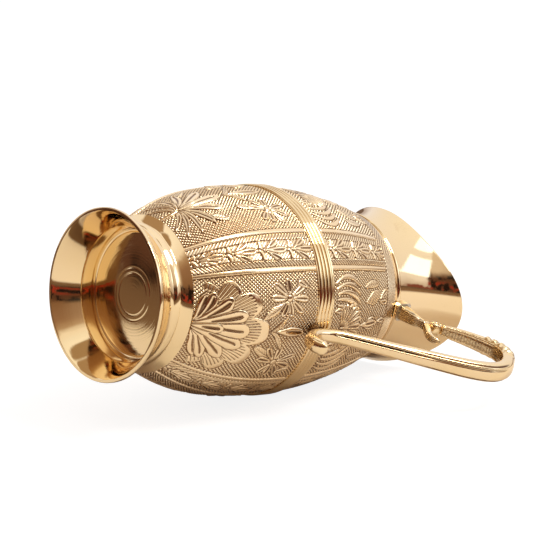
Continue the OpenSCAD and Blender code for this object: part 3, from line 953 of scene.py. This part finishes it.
# ---------------------------------------------------------------- floor and room
DOWN = Vector((0.230, 0.965, 0.126)).normalized()    # towards the floor that the jug lies on
UP = -DOWN
RIGHT = (cam_right - UP * cam_right.dot(UP)).normalized()
FRONT = RIGHT.cross(UP)
if FRONT.dot(back) < 0:
    FRONT = -FRONT
# how far the jug's lowest points are from the origin
reach = max(max(v.co.dot(DOWN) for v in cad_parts[n].data.vertices)
            for n in ("waist_band", "mouth", "foot_skirt"))


def floor_material():
    m = Nodes("floor")
    reflected = m.surface("ShaderNodeBsdfDiffuse", floor_colour(m))
    # the camera sees the pale ground of a studio picture, with a faint shadow
    add = m.new("ShaderNodeAddShader")
    m.link(m.surface("ShaderNodeBsdfDiffuse", (0.25, 0.25, 0.25)), add.inputs[0])
    m.link(m.surface("ShaderNodeEmission", (1.0, 1.0, 1.0), 0.86), add.inputs[1])
    from_camera = m.new("ShaderNodeLightPath").outputs["Is Camera Ray"]
    upper = m.mix_shaders(from_camera, reflected, add.outputs[0])
    # from below it isn't seen at all
    below = m.new("ShaderNodeNewGeometry").outputs["Backfacing"]
    clear = m.new("ShaderNodeBsdfTransparent").outputs[0]
    m.link(m.mix_shaders(below, upper, clear), m.out.inputs[0])
    return m.material


def floor_colour(m):
    """The table's colour, as reflections and bounced light meet it, with a painted shadow under the
    jug.
    """
    def offset(direction, middle, half):
        away = m.math("SUBTRACT", m.vector("DOT_PRODUCT", direction), middle.dot(direction))
        return m.math("DIVIDE", away, half)

    def shadow_spot(middle, half_right, half_front):
        """1 inside a ragged ellipse, 0 outside it."""
        a, b = offset(RIGHT, middle, half_right), offset(FRONT, middle, half_front)
        d = m.math("ADD", m.math("MULTIPLY", a, a), m.math("MULTIPLY", b, b))
        ragged = m.math("ADD", d, m.remap(m.noise(16, 3), 0, 1, -0.3, 0.3))
        return m.remap(ragged, 0.6, 1.3, 1, 0, True)

    body_shadow_at, foot_shadow_at = AXIS * 0.11, FRONT * 0.004 - RIGHT * 0.030
    # painted shadow: darker under the jug, and darkest under the foot
    table = m.mix(shadow_spot(body_shadow_at, 0.17, 0.072), (0.84, 0.82, 0.79), (0.60, 0.52, 0.44))
    table = m.mix(shadow_spot(foot_shadow_at, 0.048, 0.019), table, (0.20, 0.13, 0.08))
    # the table ends 0.7 m away, and sooner on the foot's side
    far = m.remap(m.vector("LENGTH"), 0.55, 0.80, 0, 1, True)
    sideways = m.math("ADD", m.vector("DOT_PRODUCT", RIGHT), m.remap(m.noise(9, 3), 0, 1, -0.1, 0.1))
    far = m.math("MAXIMUM", far, m.remap(sideways, -0.34, -0.40, 0, 1, True))
    return m.mix(far, table, (0.20, 0.13, 0.085))


def build_floor():
    """A square sheet just under the lying jug."""
    size, gap = 8.0, 0.0002
    centre = DOWN * (reach + gap)
    corners = [centre + RIGHT * (sx * size) + FRONT * (sy * size)
               for sx, sy in ((-1, -1), (1, -1), (1, 1), (-1, 1))]
    mesh = bpy.data.meshes.new("floor")
    mesh.from_pydata([tuple(c) for c in corners], [], [(0, 1, 2, 3)])
    mesh.update()
    if mesh.polygons[0].normal.dot(UP) < 0:
        mesh.flip_normals()
    obj = bpy.data.objects.new("floor", mesh)
    bpy.context.scene.collection.objects.link(obj)
    mesh.materials.append(floor_material())


build_floor()


def build_world():
    """The room that the brass reflects. Colours are placed by elevation and bearing."""
    world = bpy.data.worlds.new("studio")
    bpy.context.scene.world = world
    world.use_nodes = True
    m = Tree(world.node_tree, "Generated")
    out = m.new("ShaderNodeOutputWorld")
    calc, mix = m.math, m.mix

    def remap(value, a, b, c, d):
        return m.remap(value, a, b, c, d, True)

    def times(a, b):
        return calc("MULTIPLY", a, b)

    def ramp(value, stops):
        n = m.new("ShaderNodeValToRGB")
        m.link(value, n.inputs[0])
        elements = n.color_ramp.elements
        elements.remove(elements[-1])
        for k, (pos, col) in enumerate(stops):
            e = elements[0] if k == 0 else elements.new(pos)
            e.position, e.color = pos, (*col, 1)
        return n.outputs[0]

    # elevation and bearing in degrees; the bearing is 0 towards the front, 90 to the right
    up, right, front = (m.vector("DOT_PRODUCT", axis) for axis in (UP, RIGHT, FRONT))
    elevation = times(calc("ARCSINE", up), math.degrees(1))
    bearing = times(calc("ARCTAN2", right, front), math.degrees(1))
    # the same two with ragged edges, by up to 5 and 13 degrees
    uneven = calc("SUBTRACT", m.noise(5.0, 4, 0.5), 0.5)
    ragged = calc("MULTIPLY_ADD", uneven, 10, elevation)
    wall_at = calc("MULTIPLY_ADD", uneven, 26, bearing)

    def by_elevation(*stops):
        return ramp(m.remap(ragged, -90, 90, 0, 1),
                    [((e + 90) / 180, colour) for e, colour in stops])

    def within(value, low, high, soft):
        """1 between low and high, fading to 0 over soft degrees inside them."""
        return times(remap(value, low, low + soft, 0, 1), remap(value, high - soft, high, 1, 0))

    # the unlit room behind the camera, under a bright ceiling
    room = by_elevation((-8, (1.05, 1.0, 0.96)), (-5, (0.10, 0.045, 0.03)),
                        (14, (0.11, 0.05, 0.03)), (20, (0.24, 0.13, 0.07)),
                        (40, (0.31, 0.18, 0.11)), (46, (0.38, 0.24, 0.15)),
                        (51, (0.50, 0.36, 0.25)), (58, (0.96, 0.88, 0.80)),
                        (68, (1.00, 0.97, 0.94)), (80, (1.10, 1.07, 1.04)))
    # things standing in it at eye level
    blocks = m.noise(9.0, 2, 0.5)
    low_part = times(remap(elevation, 6, 12, 1, 0), remap(bearing, -84, -74, 0, 1))
    red = times(remap(blocks, 0.52, 0.55, 0, 1), low_part)
    black = times(remap(blocks, 0.47, 0.44, 0, 1), remap(elevation, 17, 23, 1, 0))
    above_table = remap(elevation, -5, -3, 0, 1)
    room = mix(times(red, above_table), room, (0.34, 0.035, 0.02))
    room = mix(times(black, above_table), room, (0.018, 0.010, 0.008))
    # a lamp lights the room's right side
    lamp = times(remap(bearing, 18, 55, 0, 0.6), remap(ragged, 13, 24, 0, 1))
    room = mix(lamp, room, (1.05, 0.94, 0.82))
    # white boards behind the jug and to its right
    boards = by_elevation((-8, (1.05, 1.0, 0.96)), (-4, (0.34, 0.24, 0.18)),
                          (2, (0.55, 0.45, 0.40)), (10, (0.92, 0.88, 0.90)),
                          (60, (1.05, 1.02, 1.02)), (90, (1.1, 1.07, 1.05)))
    light = mix(within(wall_at, -104, 68, 6), boards, room)
    # dark edges of the table to the right and left, and a dark wall high behind the foot
    dark_right = times(within(wall_at, 60, 98, 6), within(ragged, -6, 4, 2))
    light = mix(dark_right, light, (0.22, 0.07, 0.05))
    dark_left = times(within(wall_at, -112, -72, 5), within(ragged, -12, 0, 2))
    light = mix(dark_left, light, (0.13, 0.065, 0.035))
    dark_back = times(within(wall_at, -172, -108, 10), within(ragged, 36, 80, 6))
    light = mix(dark_back, light, (0.42, 0.28, 0.17))
    # a dark beam overhead
    light = mix(remap(ragged, 76, 80, 0, 1), light, (0.40, 0.27, 0.16))
    # a window in two panes
    panes = calc("MAXIMUM", within(elevation, 13, 36, 2), within(elevation, 43, 62, 2))
    light = mix(times(within(bearing, 64, 100, 3), panes), light, (1.7, 1.9, 2.2))
    # the camera itself sees plain white
    seen = m.surface("ShaderNodeBackground", (1.0, 1.0, 1.0))
    lit = m.surface("ShaderNodeBackground", light, 1.06)
    from_camera = m.new("ShaderNodeLightPath").outputs["Is Camera Ray"]
    m.link(m.mix_shaders(from_camera, lit, seen), out.inputs[0])


build_world()


# ---------------------------------------------------------------- lamp
def softbox(name, elevation, turn, distance, size, watts, colour=(1, 0.96, 0.90)):
    """An area light above the floor, turned from the camera's side towards the right."""
    e, t = math.radians(elevation), math.radians(turn)
    where = (FRONT * (math.cos(e) * math.cos(t)) + RIGHT * (math.cos(e) * math.sin(t))
             + UP * math.sin(e))
    data = bpy.data.lights.new(name, "AREA")
    data.shape = "RECTANGLE"
    data.size, data.size_y = size
    data.energy = watts
    data.color = colour
    obj = bpy.data.objects.new(name, data)
    bpy.context.scene.collection.objects.link(obj)
    obj.location = AIM + where * distance
    obj.rotation_mode = "QUATERNION"
    obj.rotation_quaternion = where.to_track_quat("Z", "Y")


softbox("key", elevation=58, turn=72, distance=1.6, size=(0.6, 0.45), watts=12)
bpy.context.scene.view_settings.view_transform = "Standard"
